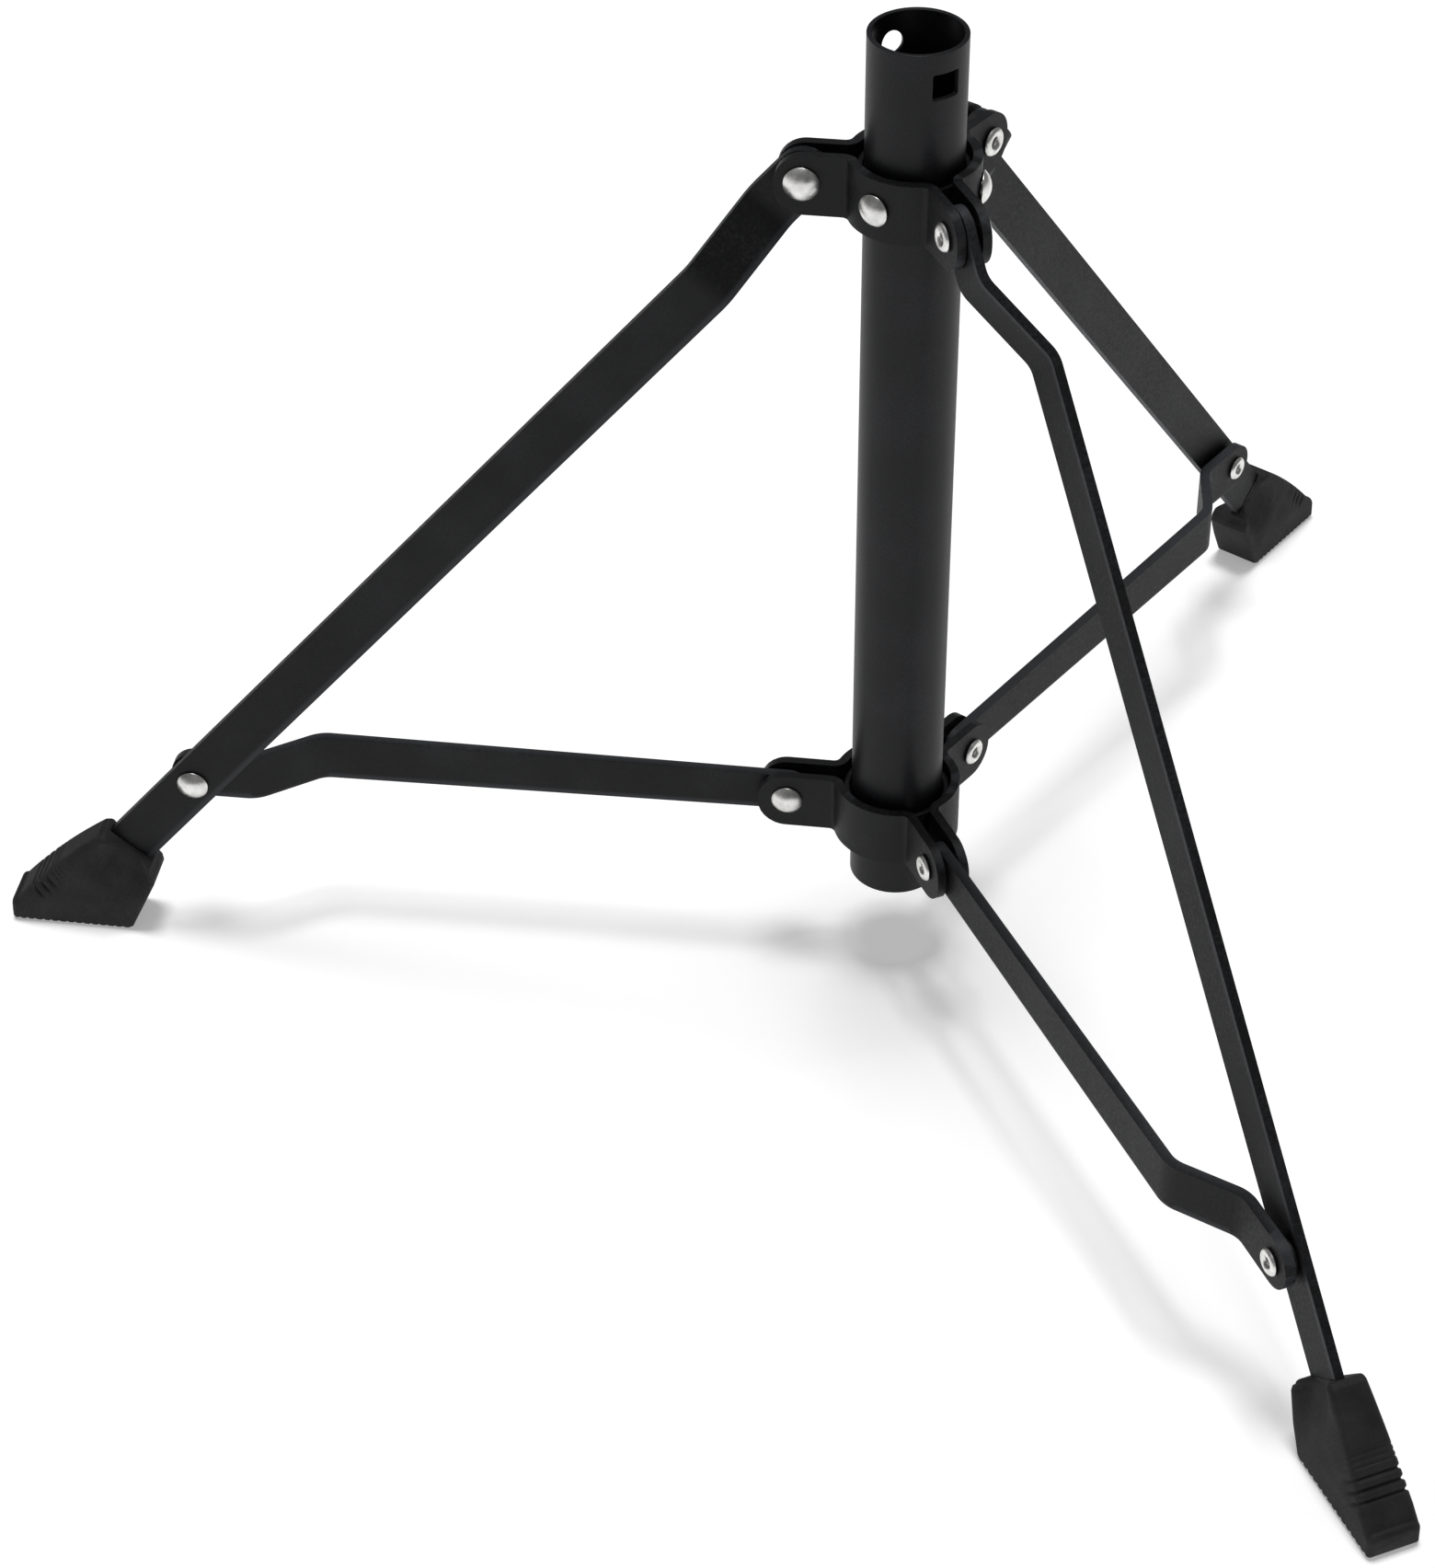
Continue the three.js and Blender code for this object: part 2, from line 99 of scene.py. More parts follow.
# %% Driving sizes
TUBE_R = (tube_high.x - tube_low.x) / 2 / MM
TUBE_BOTTOM = tube_low.z / MM
TUBE_TOP = tube_high.z / MM
TUBE_WALL = 1.3
PLATE_T = 2.5
PLATE_BEND = 3.25
SLEEVE_GAP = 0.25
COLLAR = dict(r=27.8, z=250.6, base=241.6, height=16.8, left=4.0, right=3.0, end=7.1, sleeve=14.3)
HUB = dict(r=30.6, z=50.8, base=41.6, height=17.2, left=3.45, right=3.45, end=8.3, sleeve=15.0)
KNEE_R, KNEE_Z = 199.4, 50.3
LEG_W, LEG_T = 14.2, 2.5
LEG_SET, LEG_SET_KNEE = 13.3, 18.5
LEG_JOGGLE = (13.0, 35.0)
BRACE_W, BRACE_T = 11.6, 3.0
BRACE_DRIFT = 1.5
BRACE_JOGGLE = (135.0, 152.0)
BEND_R = 9.0
PLAY = 0.3
KNEE_WASHER_T = 1.4
LEG_WASHER_T = 0.8
RIVET_R = 2.4
COLLAR_RIVET_R = 2.0

LEG_SPAN = math.hypot(KNEE_R - COLLAR["r"], KNEE_Z - COLLAR["z"])
LEG_TILT = math.atan2(KNEE_Z - COLLAR["z"], KNEE_R - COLLAR["r"])
BRACE_SPAN = math.hypot(KNEE_R - HUB["r"], KNEE_Z - HUB["z"])
BRACE_TILT = math.atan2(KNEE_Z - HUB["z"], KNEE_R - HUB["r"])
LEG_LEAN = (LEG_SET_KNEE - LEG_SET) / (LEG_SPAN - LEG_JOGGLE[1])
LEG_END = LEG_SPAN + 52
BRACE_SET = LEG_SET_KNEE - LEG_T / 2 - 2 * PLAY - KNEE_WASHER_T - BRACE_T / 2
MOUTH = LEG_SPAN + 31.5
FOOT_SET = LEG_SET + LEG_LEAN * (LEG_END - LEG_JOGGLE[1]) + 0.6
RIVET_Z = COLLAR["base"] + COLLAR["height"] / 2
print("leg", round(LEG_SPAN, 1), "brace", round(BRACE_SPAN, 1))

# %% [markdown]
# ## Colour and node helpers
# Paint charts give colours as hex values, which are stored for the screen. Blender's
# shaders want linear light, so one function turns one into the other. A second function
# adds a node with its settings and links, which keeps each material short enough to read.


# %% Helpers for materials
def hex_to_linear(code):
    parts = [int(code[i:i + 2], 16) / 255 for i in (0, 2, 4)]
    linear = [c / 12.92 if c <= 0.04045 else ((c + 0.055) / 1.055) ** 2.4 for c in parts]
    return (*linear, 1.0)


def start_material(name):
    material = bpy.data.materials.new(name)
    material.use_nodes = True
    tree = material.node_tree
    return material, tree, tree.nodes["Principled BSDF"]


def node(tree, kind, settings=None, links=None, **values):
    """Adds one node: settings are its own properties, values its sockets, links its inputs."""
    made = tree.nodes.new(kind)
    for key, value in (settings or {}).items():
        setattr(made, key, value)
    for key, value in values.items():
        made.inputs[key.replace("_", " ")].default_value = value
    for key, source in (links or {}).items():
        tree.links.new(source, made.inputs[key])
    return made


def ramp(tree, source, stops):
    made = node(tree, "ShaderNodeValToRGB", links={"Fac": source})
    while len(made.color_ramp.elements) < len(stops):
        made.color_ramp.elements.new(0.5)
    for element, (position, colour) in zip(made.color_ramp.elements, stops):
        element.position = position
        element.color = colour
    return made


def plug_in(tree, shader, colour, rough, bump):
    tree.links.new(colour, shader.inputs["Base Color"])
    tree.links.new(rough.outputs["Result"], shader.inputs["Roughness"])
    tree.links.new(bump.outputs["Normal"], shader.inputs["Normal"])


def grey(value):
    return (value, value, value, 1.0)


print("black of the coat", [round(c, 4) for c in hex_to_linear("26272B")])

# %% [markdown]
# ## Powder coat
# The steel parts are sprayed with dry polyester powder and baked. It melts into a tough
# satin skin with a fine grain, a little like orange peel. On the real straps the grain is
# about 0.4 mm wide; it is drawn at 0.6 to 0.9 mm so that it still shows from a metre away.
# Sharp edges are painted lighter: a painted highlight, partly the coat running thin over a
# punched edge. The mesh's own curvature, which Blender calls pointiness, finds those edges.


# %% Polyester powder coat, baked on steel
COAT_IOR = 1.42  # from the 1.5 of clear resin, matched down to this satin coat


def powder_coat(name, dark, light, grain_mm, relief_mm, rough_low, rough_high):
    material, tree, shader = start_material(name)
    place = node(tree, "ShaderNodeTexCoord").outputs["Object"]
    grain = node(tree, "ShaderNodeTexNoise", links={"Vector": place},
                 Scale=1 / (grain_mm * MM), Detail=3.0, Roughness=0.55)
    cloud = node(tree, "ShaderNodeTexNoise", links={"Vector": place},
                 Scale=1 / (22 * MM), Detail=2.0, Roughness=0.5)
    both = node(tree, "ShaderNodeMath", {"operation": "MULTIPLY_ADD"},
                {0: grain.outputs["Fac"], 2: cloud.outputs["Fac"]})
    both.inputs[1].default_value = 1.3
    patch = node(tree, "ShaderNodeMapRange", links={"Value": both.outputs[0]},
                 From_Min=0.85, From_Max=1.45)
    coat = ramp(tree, patch.outputs["Result"], [
        (0.0, hex_to_linear(dark)), (0.35, hex_to_linear(dark)), (1.0, hex_to_linear(light))])
    # Sharp edges found by pointiness are painted lighter with 5A5C61: a painted highlight, partly
    # thin coat.
    edge = node(tree, "ShaderNodeNewGeometry").outputs["Pointiness"]
    edge_highlight_and_thin_coat = node(tree, "ShaderNodeMapRange", links={"Value": edge},
                From_Min=0.52, From_Max=0.62, To_Max=0.45)
    edge_highlight_and_wear = node(tree, "ShaderNodeMix", {"data_type": "RGBA"},
                {0: edge_highlight_and_thin_coat.outputs["Result"], 6: coat.outputs["Color"]})
    edge_highlight_and_wear.inputs[7].default_value = hex_to_linear("5A5C61")
    rough = node(tree, "ShaderNodeMapRange", links={"Value": grain.outputs["Fac"]},
                 From_Min=0.3, From_Max=0.7, To_Min=rough_low, To_Max=rough_high)
    bump = node(tree, "ShaderNodeBump", links={"Height": grain.outputs["Fac"]},
                Strength=0.6, Distance=relief_mm * MM)
    shader.inputs["IOR"].default_value = COAT_IOR
    plug_in(tree, shader, edge_highlight_and_wear.outputs[2], rough, bump)
    return material


strap_coat = powder_coat("powder_coat_on_strap", "161719", "2C2D30",
                         grain_mm=0.9, relief_mm=0.05, rough_low=0.42, rough_high=0.62)
bracket_coat = powder_coat("powder_coat_on_stamping", "17181A", "2B2C2F",
                           grain_mm=0.8, relief_mm=0.04, rough_low=0.40, rough_high=0.58)
tube_coat = powder_coat("smooth_powder_coat_on_tube", "1E1F22", "2C2D31",
                        grain_mm=0.6, relief_mm=0.012, rough_low=0.36, rough_high=0.46)
print("coats", strap_coat.name, bracket_coat.name, tube_coat.name)

# %% [markdown]
# ## Nickel-plated rivets
# The rivets are steel, tumbled smooth and plated with bright nickel, a white metal with
# only a trace of warmth. Tumbling leaves soft dents and cloudy patches rather than
# scratches, so the roughness wanders slowly over each head and a faint bump breaks up the
# reflection.

# %% Bright nickel plate on tumbled steel
nickel_plate, tree, shader = start_material("bright_nickel_plate")
place = node(tree, "ShaderNodeTexCoord").outputs["Object"]
dents = node(tree, "ShaderNodeTexNoise", links={"Vector": place},
             Scale=1 / (1.6 * MM), Detail=2.0, Roughness=0.5)
haze = node(tree, "ShaderNodeTexNoise", links={"Vector": place},
            Scale=1 / (3.2 * MM), Detail=4.0, Roughness=0.6)
tone = ramp(tree, haze.outputs["Fac"], [
    (0.3, hex_to_linear("D0D0CE")), (0.62, hex_to_linear("F4F3F1"))])
cloudy = node(tree, "ShaderNodeMapRange", links={"Value": haze.outputs["Fac"]},
              From_Min=0.3, From_Max=0.7, To_Min=0.26, To_Max=0.42)
bump = node(tree, "ShaderNodeBump", links={"Height": dents.outputs["Fac"]},
            Strength=0.35, Distance=0.12 * MM)
shader.inputs["Metallic"].default_value = 1.0
plug_in(tree, shader, tone.outputs["Color"], cloudy, bump)
print("nickel", nickel_plate.name)

# %% [markdown]
# ## Moulded rubber
# Each foot is moulded in black rubber, probably a soft PVC or a natural blend. The mould
# was spark-eroded, which leaves a fine matte texture of about 0.3 mm, drawn a little
# coarser here. Rubber scatters light widely, so it is rough, and it turns a shade greyer
# where plasticiser and dust sit on it.

# %% Matte moulded rubber
foot_rubber, tree, shader = start_material("matte_moulded_rubber")
place = node(tree, "ShaderNodeTexCoord").outputs["Object"]
texture = node(tree, "ShaderNodeTexNoise", links={"Vector": place},
               Scale=1 / (0.5 * MM), Detail=3.0, Roughness=0.6)
bloom = node(tree, "ShaderNodeTexNoise", links={"Vector": place},
             Scale=1 / (9 * MM), Detail=3.0, Roughness=0.6)
tone = ramp(tree, bloom.outputs["Fac"], [
    (0.3, hex_to_linear("222224")), (0.7, hex_to_linear("353537"))])
# Sharp edges found by pointiness are painted lighter with 4A4A4C: a painted highlight, partly
# rubbed rubber.
edge = node(tree, "ShaderNodeNewGeometry").outputs["Pointiness"]
edge_highlight_and_rub = node(tree, "ShaderNodeMapRange", links={"Value": edge},
              From_Min=0.51, From_Max=0.58, To_Max=0.35)
edge_highlight_and_wear = node(tree, "ShaderNodeMix", {"data_type": "RGBA"},
            {0: edge_highlight_and_rub.outputs["Result"], 6: tone.outputs["Color"]})
edge_highlight_and_wear.inputs[7].default_value = hex_to_linear("4A4A4C")
rough = node(tree, "ShaderNodeMapRange", links={"Value": texture.outputs["Fac"]},
             From_Min=0.3, From_Max=0.7, To_Min=0.62, To_Max=0.82)
bump = node(tree, "ShaderNodeBump", links={"Height": texture.outputs["Fac"]},
            Strength=0.5, Distance=0.05 * MM)
shader.inputs["IOR"].default_value = 1.52
plug_in(tree, shader, edge_highlight_and_wear.outputs[2], rough, bump)
print("rubber", foot_rubber.name)

# %% [markdown]
# ## Nylon
# The bushing that lets the hub slide, and the washers between the straps, are injection
# moulded nylon, dyed black. Fresh nylon has a soft sheen; where the hub has rubbed it, it
# is polished. Only thin rims of it can be seen.

# %% Black injection-moulded nylon
black_nylon, tree, shader = start_material("black_moulded_nylon")
place = node(tree, "ShaderNodeTexCoord").outputs["Object"]
swirl = node(tree, "ShaderNodeTexNoise", links={"Vector": place},
             Scale=1 / (2.5 * MM), Detail=3.0, Roughness=0.5)
tone = ramp(tree, swirl.outputs["Fac"], [
    (0.3, hex_to_linear("121213")), (0.7, hex_to_linear("1D1D1F"))])
rough = node(tree, "ShaderNodeMapRange", links={"Value": swirl.outputs["Fac"]},
             From_Min=0.3, From_Max=0.7, To_Min=0.38, To_Max=0.55)
bump = node(tree, "ShaderNodeBump", links={"Height": swirl.outputs["Fac"]},
            Strength=0.2, Distance=0.03 * MM)
shader.inputs["IOR"].default_value = 1.53
plug_in(tree, shader, tone.outputs["Color"], rough, bump)
print("nylon", black_nylon.name)

# %% [markdown]
# ## From points to a piece
# Every piece below is a list of points and faces worked out by formula. This helper puts
# them into a mesh, turns the faces outward, rounds the sharp edges with a Bevel modifier,
# hangs the piece from an empty for the body it moves with, and hides the solid it stands for.


# %% Helper that finishes a piece
def make_piece(name, points, faces, place, body, cad_node, slot, material, edge_mm=0.0):
    mesh = bpy.data.meshes.new(name)
    mesh.from_pydata([place @ Vector(p) for p in points], [], faces)
    bm = bmesh.new()
    bm.from_mesh(mesh)
    bmesh.ops.remove_doubles(bm, verts=bm.verts, dist=1e-7)
    bmesh.ops.recalc_face_normals(bm, faces=bm.faces)
    bm.to_mesh(mesh)
    bm.free()
    mesh.shade_smooth()
    mesh.materials.append(material)
    piece = bpy.data.objects.new(name, mesh)
    bpy.context.scene.collection.objects.link(piece)
    if edge_mm:
        edge = piece.modifiers.new("rounded_edges", "BEVEL")
        edge.width = edge_mm * MM
        edge.segments = 3
        edge.limit_method = "ANGLE"
        edge.angle_limit = math.radians(50)
        edge.harden_normals = True
    else:
        mesh.set_sharp_from_angle(angle=math.radians(55))
    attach(piece, body)
    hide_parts(cad_node)
    return piece


# %% [markdown]
# ## Sheet metal
# The tube wall, the stamped plates and the straps are all sheet of even thickness with
# round or square holes. Each is drawn flat as a grid of places, along and across. A hole
# takes a block of cells, and rings of four-sided faces lead from the block's edge to the
# outline of the hole, which keeps the mesh clean. The flat drawing is then bent in space
# and given its two skins.


# %% Helpers for sheet metal
def circle_outline(radius):
    return lambda angle: radius


def square_outline(half_wide, half_high, corner):
    """Distance from the middle to a square with rounded corners, in a given direction."""
    def reach(angle):
        c, s = abs(math.cos(angle)), abs(math.sin(angle))
        straight = min(half_wide / max(c, 1e-9), half_high / max(s, 1e-9))
        x, y = straight * c, straight * s
        inner_x, inner_y = half_wide - corner, half_high - corner
        if x <= inner_x or y <= inner_y:
            return straight
        along = c * inner_x + s * inner_y
        off = inner_x ** 2 + inner_y ** 2 - corner ** 2
        return along + math.sqrt(max(along ** 2 - off, 0.0))
    return reach


def flat_sheet(stations, rows_at, holes, wrap=False):
    """Places and faces of a flat sheet. A hole is (centre, outline, i0, i1, j0, j1)."""
    columns, rows = len(stations), len(rows_at(stations[0]))
    places, faces, index = [], [], {}

    def inside(i, j, hole):
        return hole[2] < i < hole[3] and hole[4] < j < hole[5]

    for i, s in enumerate(stations):
        for j, w in enumerate(rows_at(s)):
            if not any(inside(i, j, hole) for hole in holes):
                index[i, j] = len(places)
                places.append((s, w))
    for i in range(columns if wrap else columns - 1):
        for j in range(rows - 1):
            if any(h[2] <= i < h[3] and h[4] <= j < h[5] for h in holes):
                continue
            after = (i + 1) % columns
            faces.append([index[i, j], index[after, j], index[after, j + 1], index[i, j + 1]])
    for centre, outline, i0, i1, j0, j1 in holes:
        loop = [(i, j0) for i in range(i0, i1)] + [(i1, j) for j in range(j0, j1)]
        loop += [(i, j1) for i in range(i1, i0, -1)] + [(i0, j) for j in range(j1, j0, -1)]
        rings = [[index[spot] for spot in loop]]
        for share in (0.45, 0.8, 1.0):
            ring = []
            for spot in loop:
                s, w = places[index[spot]]
                angle = math.atan2(w - centre[1], s - centre[0])
                reach = outline(angle)
                rim = (centre[0] + reach * math.cos(angle), centre[1] + reach * math.sin(angle))
                ring.append(len(places))
                places.append(tuple(a + (b - a) * share for a, b in zip((s, w), rim)))
            rings.append(ring)
        for outer, inner in zip(rings, rings[1:]):
            for a in range(len(loop)):
                b = (a + 1) % len(loop)
                faces.append([outer[a], outer[b], inner[b], inner[a]])
    return places, faces


def two_skins(places, faces, to_space, thickness):
    """Bends the flat sheet in space; to_space gives a point on its middle and the normal there."""
    bent = [to_space(s, w) for s, w in places]
    count = len(places)
    points = [p + n * thickness / 2 for p, n in bent] + [p - n * thickness / 2 for p, n in bent]
    solid = [list(f) for f in faces] + [[i + count for i in reversed(f)] for f in faces]
    used = {}
    for face in faces:
        for a, b in zip(face, face[1:] + face[:1]):
            used[frozenset((a, b))] = used.get(frozenset((a, b)), []) + [(a, b)]
    for sides in used.values():
        if len(sides) == 1:
            a, b = sides[0]
            solid.append([b, a, a + count, b + count])
    return points, solid


def steps(start, end, count):
    return [start + (end - start) * i / count for i in range(count + 1)]


def nearest(values, target):
    return min(range(len(values)), key=lambda i: abs(values[i] - target))


print("sheet metal helpers ready")

# %% [markdown]
# ## The main tube
# One-inch steel tube, sawn to length and deburred, is the backbone of the base. Near the
# top a square hole takes a spring button and a round hole opposite takes a pin. Three
# small holes take the collar's rivets. The wall is a flat sheet 1.3 mm thick, rolled
# round so that its two sides meet.

# %% Main tube
TUBE_COLUMNS = 144
TUBE_MIDDLE = TUBE_R - TUBE_WALL / 2
LOCK_Z = TUBE_TOP - 9
columns_at = [TUBE_MIDDLE * 2 * math.pi * i / TUBE_COLUMNS for i in range(TUBE_COLUMNS)]
up = [TUBE_BOTTOM, TUBE_BOTTOM + 1.2, *steps(TUBE_BOTTOM + 6, RIVET_Z - 8, 12)]
up += steps(RIVET_Z - 3.5, RIVET_Z + 3.5, 8) + steps(RIVET_Z + 8, LOCK_Z - 8, 3)
up += steps(LOCK_Z - 5.2, LOCK_Z + 5.2, 12) + [TUBE_TOP - 1.2, TUBE_TOP]


def tube_hole(degrees, z, outline, reach_columns, reach_mm):
    middle = round(degrees % 360 / 360 * TUBE_COLUMNS)
    spot = (TUBE_MIDDLE * math.radians(degrees % 360), z)
    rows = nearest(up, round(z) - reach_mm), nearest(up, round(z) + reach_mm)
    return (spot, outline, middle - reach_columns, middle + reach_columns, *rows)


def rolled(s, z):
    angle = s / TUBE_MIDDLE
    out = Vector((math.cos(angle), math.sin(angle), 0))
    return out * TUBE_MIDDLE + Vector((0, 0, z)), out


tube_holes = [tube_hole(270, LOCK_Z, square_outline(3.6, 3.4, 0.6), 11, 5.2),
              tube_hole(90, LOCK_Z + 0.6, circle_outline(3.4), 11, 5.2)]
for n in (1, 2, 3):
    side = Vector(JOINTS[f"leg_hinge_{n}"]["axis"])
    facing = math.degrees(math.atan2(-side.x, side.y)) + 60
    tube_holes.append(tube_hole(facing, RIVET_Z, circle_outline(COLLAR_RIVET_R + 0.1), 8, 3.5))
points, faces = two_skins(*flat_sheet(columns_at, lambda s: up, tube_holes, wrap=True),
                          rolled, TUBE_WALL)
make_piece("main_tube_wall", points, faces, STAND, "base", "main_tube", "tube_coat",
           tube_coat, edge_mm=0.3)
print("main tube", len(faces), "faces")

# %% [markdown]
# ## Turned rings
# The collar's steel sleeve and the hub's nylon bushing are plain rings. A profile turned
# round the tube's axis, as on a lathe, draws each of them, and the rivets and washers too.


# %% Helper for turned pieces
def turned(profile, closed, segments=64):
    """Turns [radius, height] points round Z. A radius of 0 is a single point on the axis."""
    points, rings, faces = [], [], []
    for r, z in profile:
        if r == 0:
            rings.append([len(points)])
            points.append((0, 0, z))
            continue
        rings.append(list(range(len(points), len(points) + segments)))
        points += [(r * math.cos(2 * math.pi * i / segments),
                    r * math.sin(2 * math.pi * i / segments), z) for i in range(segments)]
    pairs = list(zip(rings, rings[1:])) + ([(rings[-1], rings[0])] if closed else [])
    for low, high in pairs:
        for i in range(segments):
            j = (i + 1) % segments
            face = [low[i % len(low)], low[j % len(low)], high[j % len(high)], high[i % len(high)]]
            faces.append(list(dict.fromkeys(face)))
    return points, faces


def fillet(x, z, radius, start, end, count=4):
    """Points of a quarter round about (x, z), from one angle to another in degrees."""
    return [(x + radius * math.cos(math.radians(a)), z + radius * math.sin(math.radians(a)))
            for a in steps(start, end, count)]


def ring_profile(inner, outer, low, high, rounding):
    return [*fillet(inner + rounding, low + rounding, rounding, 180, 270),
            *fillet(outer - rounding, low + rounding, rounding, 270, 360),
            *fillet(outer - rounding, high - rounding, rounding, 0, 90),
            *fillet(inner + rounding, high - rounding, rounding, 90, 180)]


# %% Collar sleeve and hub bushing
for bracket, name, cad_node, body, slot, material, rounding in (
        (COLLAR, "collar_sleeve_ring", "collar_sleeve", "base", "bracket_coat", bracket_coat, 0.3),
        (HUB, "hub_bushing_ring", "hub_bushing", "hub", "nylon", black_nylon, 0.7)):
    sleeve_low, sleeve_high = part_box(cad_node)
    points, faces = turned(ring_profile(TUBE_R + SLEEVE_GAP, bracket["sleeve"],
                                        sleeve_low.z / MM, sleeve_high.z / MM, rounding),
                           closed=True, segments=96)
    make_piece(name, points, faces, STAND, body, cad_node, slot, material)
    print(name, round(sleeve_low.z / MM, 1), "to", round(sleeve_high.z / MM, 1))

# %% [markdown]
# ## Stamped plates
# Collar and hub are each made of three equal stampings of 2.5 mm steel. A stamping wraps a
# third of the way round and turns outward at both ends into an ear with a rounded nose.
# Two neighbouring ears form the fork that holds a strap. The middle line of the stamping is
# drawn from above, for the half beside one arm, and the other half is its mirror image
# with the ear of the next arm.


# %% Middle line of a stamping, seen from above
EAR_BLOCK = 3.6  # half the block of cells around a rivet hole
NOSE_FLAT = 0.7  # half the straight part of an ear's nose


def nose_corner(bracket):
    return bracket["height"] / 2 - NOSE_FLAT


def wrap_radius(bracket):
    return bracket["sleeve"] + SLEEVE_GAP + PLATE_T / 2


def arc(cx, cy, radius, start, end, count):
    return [(cx + radius * math.cos(a), cy + radius * math.sin(a))
            for a in steps(start, end, count)]


def half_line(bracket, ear):
    """From the nose of the ear to the middle between two arms."""
    radius = wrap_radius(bracket)
    bend_y = ear + PLATE_BEND
    bend_x = math.sqrt((radius + PLATE_BEND) ** 2 - bend_y ** 2)
    meet = math.atan2(bend_y, bend_x)
    nose = bracket["r"] + bracket["end"]
    corner = nose_corner(bracket)
    hole_from, hole_to = bracket["end"] - EAR_BLOCK, bracket["end"] + EAR_BLOCK
    widest = math.acos(1 - min(hole_from, corner) / corner)
    back = [corner * (1 - math.cos(a)) for a in steps(0.0, widest, 5)]
    back += [b for b in steps(hole_from, hole_to, 8)][1:]
    ear_line = [(nose - b, ear) for b in back]
    bend = arc(bend_x, bend_y, PLATE_BEND, -math.pi / 2, meet - math.pi, 7)
    wrap = arc(0, 0, radius, meet, math.pi / 3, 10)
    return ear_line + bend[1 if ear_line[-1][0] - bend[0][0] < 0.05 else 0:] + wrap[1:]


def whole_line(bracket):
    """Both halves; the second is the mirror image in the line midway between two arms."""
    c, s = math.cos(2 * math.pi / 3), math.sin(2 * math.pi / 3)
    first = half_line(bracket, bracket["left"])
    second = [(c * x + s * y, s * x - c * y) for x, y in half_line(bracket, bracket["right"])]
    return first + second[::-1][1:]


print("points on the collar's line", len(whole_line(COLLAR)))


# %% Plates of the collar and the hub
def stamping(bracket, middle_hole):
    line = whole_line(bracket)
    travelled = [0.0]
    for a, b in zip(line, line[1:]):
        travelled.append(travelled[-1] + math.hypot(b[0] - a[0], b[1] - a[1]))
    length, corner = travelled[-1], nose_corner(bracket)
    middle_z = bracket["base"] + bracket["height"] / 2

    def rows_at(s):
        back = min(s, length - s, corner)
        half = NOSE_FLAT + math.sqrt(max(corner ** 2 - (corner - back) ** 2, 0.0))
        return [middle_z + half * j / 8 for j in range(-8, 9)]

    def to_space(s, z):
        i = min(max(nearest(travelled, s), 0), len(line) - 1)
        i = i - 1 if (travelled[i] > s and i > 0) or i == len(line) - 1 else i
        share = (s - travelled[i]) / (travelled[i + 1] - travelled[i])
        (ax, ay), (bx, by) = line[i], line[i + 1]
        normal = normals[i].lerp(normals[i + 1], share).normalized()
        return Vector((ax + (bx - ax) * share, ay + (by - ay) * share, z)), normal

    normals = []
    for i in range(len(line)):
        (ax, ay), (bx, by) = line[max(i - 1, 0)], line[min(i + 1, len(line) - 1)]
        normals.append(Vector((ay - by, bx - ax, 0)).normalized())
    holes = []
    for centre in (bracket["end"], length - bracket["end"]):
        holes.append(((centre, bracket["z"]), circle_outline(RIVET_R + PLAY),
                      nearest(travelled, centre - EAR_BLOCK),
                      nearest(travelled, centre + EAR_BLOCK), 4, 12))
    if middle_hole:
        holes.append(((length / 2, RIVET_Z), circle_outline(COLLAR_RIVET_R + 0.1),
                      nearest(travelled, length / 2 - 3.4),
                      nearest(travelled, length / 2 + 3.4), 4, 12))
    return two_skins(*flat_sheet(travelled, rows_at, holes), to_space, PLATE_T)


for n in (1, 2, 3):
    for bracket, label, body in ((COLLAR, "collar", "base"), (HUB, "hub", "hub")):
        points, faces = stamping(bracket, middle_hole=bracket is COLLAR)
        make_piece(f"{label}_plate_{n}_stamping", points, faces, arm_place(n), body,
                   f"{label}_plate_{n}", "bracket_coat", bracket_coat, edge_mm=0.45)
print("six stampings of", len(faces), "faces")

# %% [markdown]
# ## Rivets and washers
# Each pivot is a semi-tubular rivet. Its head is a low dome, and its hollow tail is rolled
# outward into a ring with a dark hole in the middle. The collar's middle rivets are plain
# domes. The knee rivet is drawn in two parts, head and tail, because the leg carries one
# and the brace the other as the stand folds.


# %% Profiles of rivets
def dome_points(radius, height, base, count=10):
    """A low dome with a small upright rim at its edge, from the rim to the middle."""
    ball = (radius ** 2 + height ** 2) / (2 * height)
    points = [(radius - 0.12, base), (radius, base + 0.12), (radius, base + 0.35)]
    for a in steps(0, math.pi / 2, count)[1:]:
        r = radius * math.cos(a)
        points.append((max(r, 0.0), base + 0.35 + math.sqrt(ball ** 2 - r ** 2) - (ball - height)))
    return points[:-1] + [(0, points[-1][1])]


def ring_points(ring_r, shank_r, thickness, bore=1.25, depth=2.6):
    """The rolled tail below z = 0, from the shank round the ring and up into its bore."""
    half = (ring_r - bore) / 2
    points = [(shank_r, 0.0), (ring_r - 0.5, 0.0)]
    for a in steps(-20, -160, 10):
        points.append((bore + half + half * math.cos(math.radians(a)),
                       thickness * 0.9 * math.sin(math.radians(a)) - thickness * 0.05))
    return points + [(bore, 0.0), (bore * 0.9, depth), (0, depth + 0.3)]


def pivot_rivet(bracket, head_r):
    left = bracket["left"] + PLATE_T / 2 + PLAY / 2
    right = bracket["right"] + PLATE_T / 2 + PLAY / 2
    tail = [(r, z - right) for r, z in ring_points(3.9, RIVET_R, 1.5)][::-1]
    return tail + [(RIVET_R, left)] + dome_points(head_r, 2.1, left)


